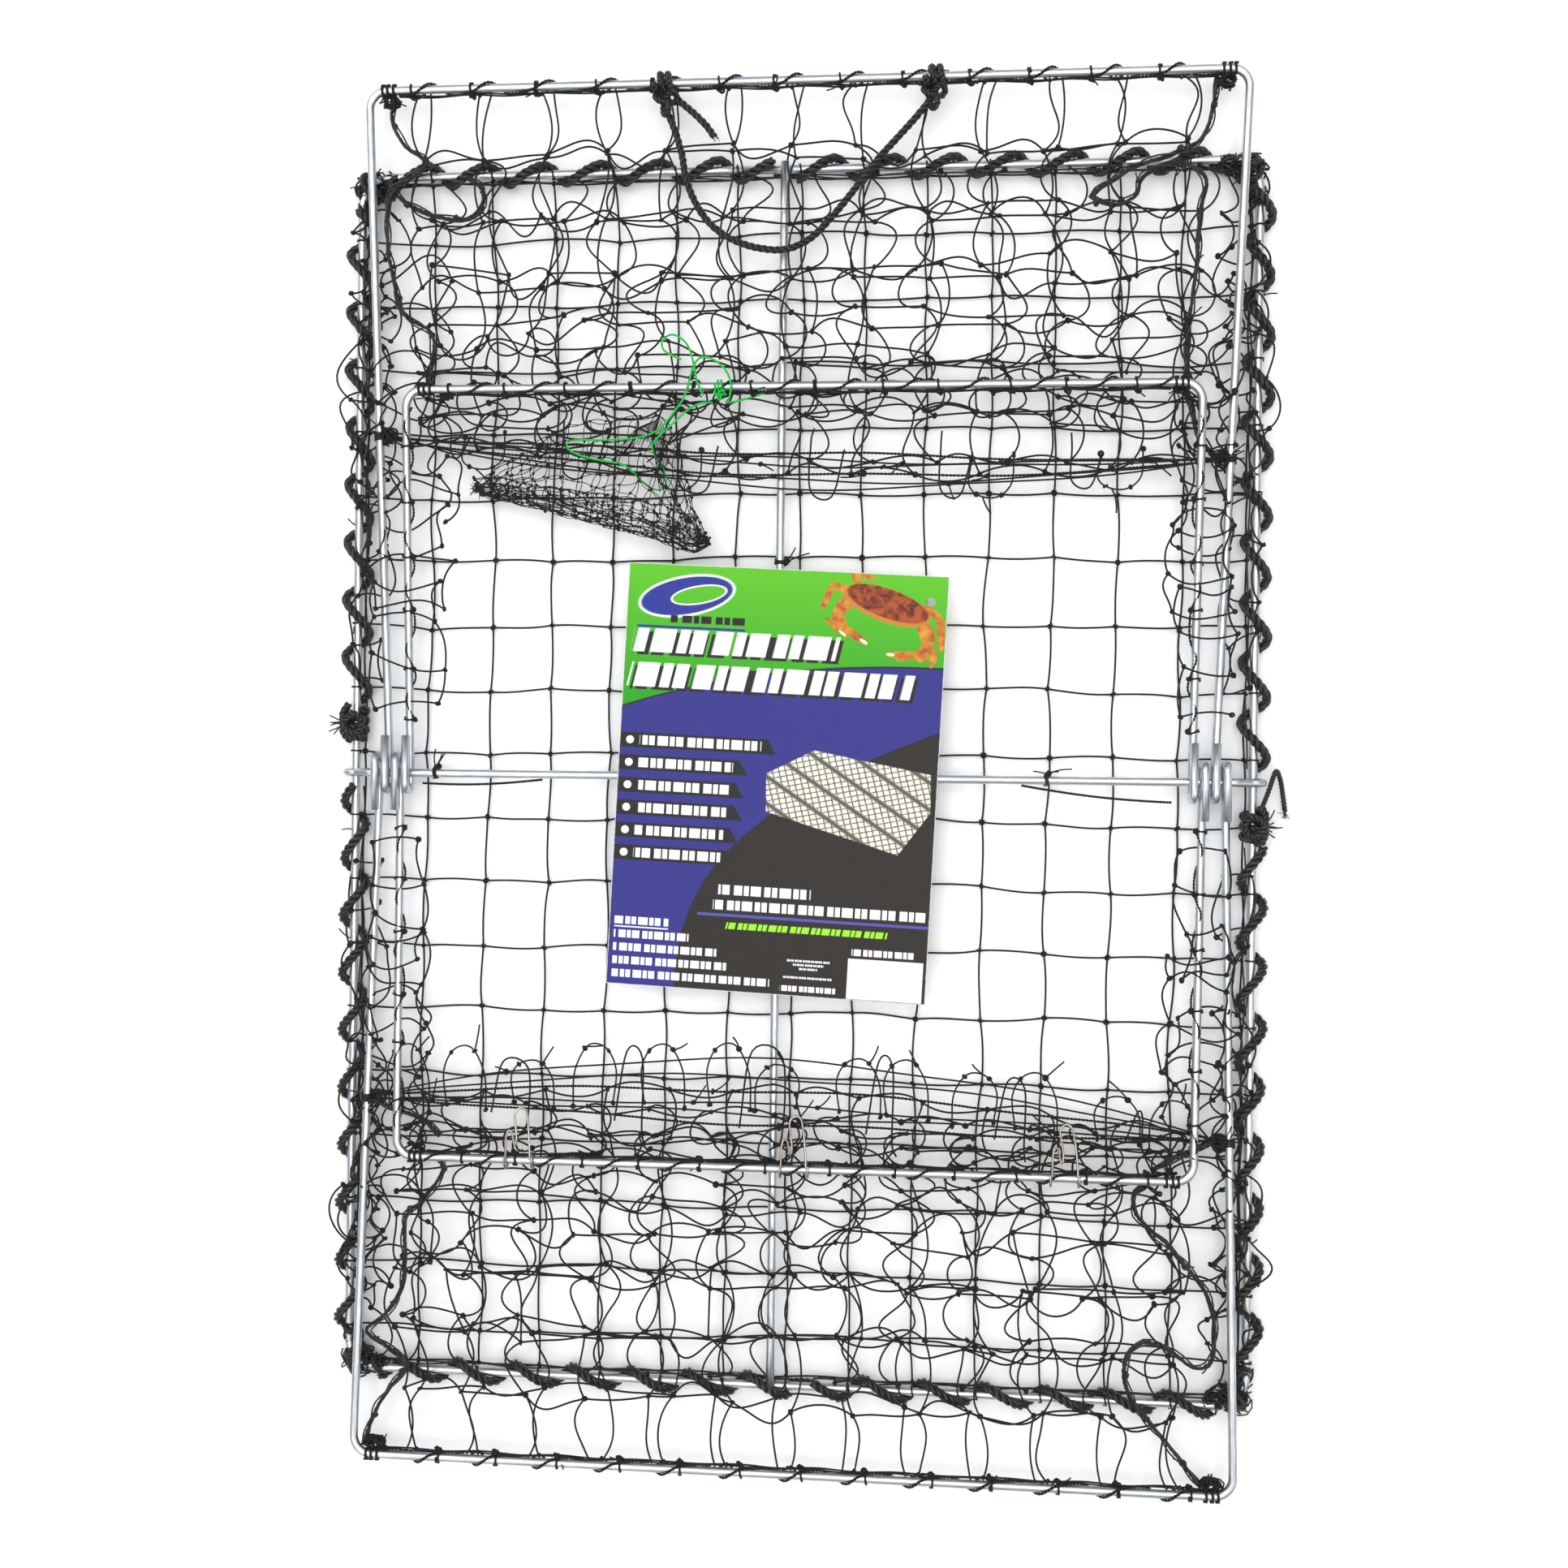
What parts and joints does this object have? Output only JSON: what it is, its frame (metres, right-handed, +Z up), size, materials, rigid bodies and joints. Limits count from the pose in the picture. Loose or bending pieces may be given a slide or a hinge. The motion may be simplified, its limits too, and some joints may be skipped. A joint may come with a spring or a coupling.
{
  "type": "folding crab trap",
  "caption": "Wire-framed netting trap with two funnel entrances that folds flat on a cross axle, with carry handle, bait bag and bar clips.",
  "frame": {"origin": "on the floor, under the middle of the axle", "axes": "+Z up; +Y along the trap to the end with the carry handle; +X to the right across it"},
  "size_m": [0.6184, 0.9258, 0.0374],
  "materials": {
    "galvanised_wire": "bright galvanised steel wire, slightly satin",
    "clip_wire": "thin polished stainless wire",
    "lashing_rope": "twisted three-strand rope, black, slightly glossy fibre",
    "handle_rope": "twisted three-strand rope, black",
    "netting_twine": "tarred twisted twine, brown-black",
    "bag_mesh": "fine knotted netting, brown-black",
    "green_cord": "thin braided cord, bright green",
    "card": "glossy printed card in green, violet and dark brown"
  },
  "bodies": {
    "base": {"base_ring": "galvanised_wire", "long_bar": "galvanised_wire", "axle_bar": "galvanised_wire", "base_netting": "netting_twine", "lashing_left": "lashing_rope", "lashing_right": "lashing_rope", "lashing_front": "lashing_rope", "lashing_rear": "lashing_rope", "corner_seizings": "lashing_rope", "rail_knots": "lashing_rope", "bar_ties": "netting_twine", "header_card": "card", "rear_funnel_lower": "netting_twine", "front_funnel_lower": "netting_twine", "rear_left_side_netting": "netting_twine", "rear_right_side_netting": "netting_twine", "front_left_side_netting": "netting_twine", "front_right_side_netting": "netting_twine"},
    "rear_outer": {"rear_outer_frame": "galvanised_wire", "rear_outer_twine": "netting_twine", "rear_funnel_upper": "netting_twine", "rear_slit_cord": "netting_twine", "rear_slit_ties": "netting_twine", "rear_top_netting": "netting_twine", "rear_left_gusset": "netting_twine", "rear_right_gusset": "netting_twine"},
    "rear_inner": {"rear_inner_frame": "galvanised_wire", "rear_inner_twine": "netting_twine", "bait_bag": "bag_mesh", "drawstring": "green_cord", "drawstring_bow": "green_cord", "drawstring_tail": "green_cord", "drawstring_knot": "green_cord"},
    "front_outer": {"front_outer_frame": "galvanised_wire", "front_outer_twine": "netting_twine", "front_funnel_upper": "netting_twine", "front_slit_cord": "netting_twine", "front_slit_ties": "netting_twine", "front_top_netting": "netting_twine", "front_left_gusset": "netting_twine", "front_right_gusset": "netting_twine"},
    "front_inner": {"front_inner_frame": "galvanised_wire", "front_inner_twine": "netting_twine"},
    "carry_handle": {"handle_rope": "handle_rope", "handle_tail": "handle_rope", "handle_knot_left": "handle_rope", "handle_knot_right": "handle_rope"},
    "left_clip": {"clip_left": "clip_wire"},
    "middle_clip": {"clip_middle": "clip_wire"},
    "right_clip": {"clip_right": "clip_wire"}
  },
  "joints": [
    {"name": "rear_outer_fold", "type": "hinge", "parent": "base", "child": "rear_outer", "pos_m": [0, 0, 0.02143], "axis": [1, 0, 0], "range_deg": [0, 34], "deforming": ["rear_funnel_lower", "rear_left_side_netting", "rear_right_side_netting"]},
    {"name": "rear_inner_fold", "type": "hinge", "parent": "rear_outer", "child": "rear_inner", "pos_m": [0, 0, 0.02143], "axis": [1, 0, 0], "range_deg": [0, 53], "deforming": ["rear_top_netting", "rear_left_gusset", "rear_right_gusset"]},
    {"name": "front_outer_fold", "type": "hinge", "parent": "base", "child": "front_outer", "pos_m": [0, 0, 0.02143], "axis": [-1, 0, 0], "range_deg": [0, 34], "deforming": ["front_funnel_lower", "front_left_side_netting", "front_right_side_netting"]},
    {"name": "front_inner_fold", "type": "hinge", "parent": "front_outer", "child": "front_inner", "pos_m": [0, 0, 0.02143], "axis": [-1, 0, 0], "range_deg": [0, 53], "deforming": ["front_top_netting", "front_left_gusset", "front_right_gusset"]},
    {"name": "handle_swing", "type": "hinge", "parent": "rear_outer", "child": "carry_handle", "pos_m": [0, 0.456, 0.028], "axis": [-1, 0, 0], "range_deg": [0, 150]},
    {"name": "left_clip_turn", "type": "hinge", "parent": "front_inner", "child": "left_clip", "pos_m": [-0.177, -0.256, 0.028], "axis": [1, 0, 0], "range_deg": [0, 95]},
    {"name": "middle_clip_turn", "type": "hinge", "parent": "front_inner", "child": "middle_clip", "pos_m": [0.006, -0.256, 0.028], "axis": [1, 0, 0], "range_deg": [0, 95]},
    {"name": "right_clip_turn", "type": "hinge", "parent": "front_inner", "child": "right_clip", "pos_m": [0.181, -0.256, 0.028], "axis": [1, 0, 0], "range_deg": [0, 95]}
  ]
}
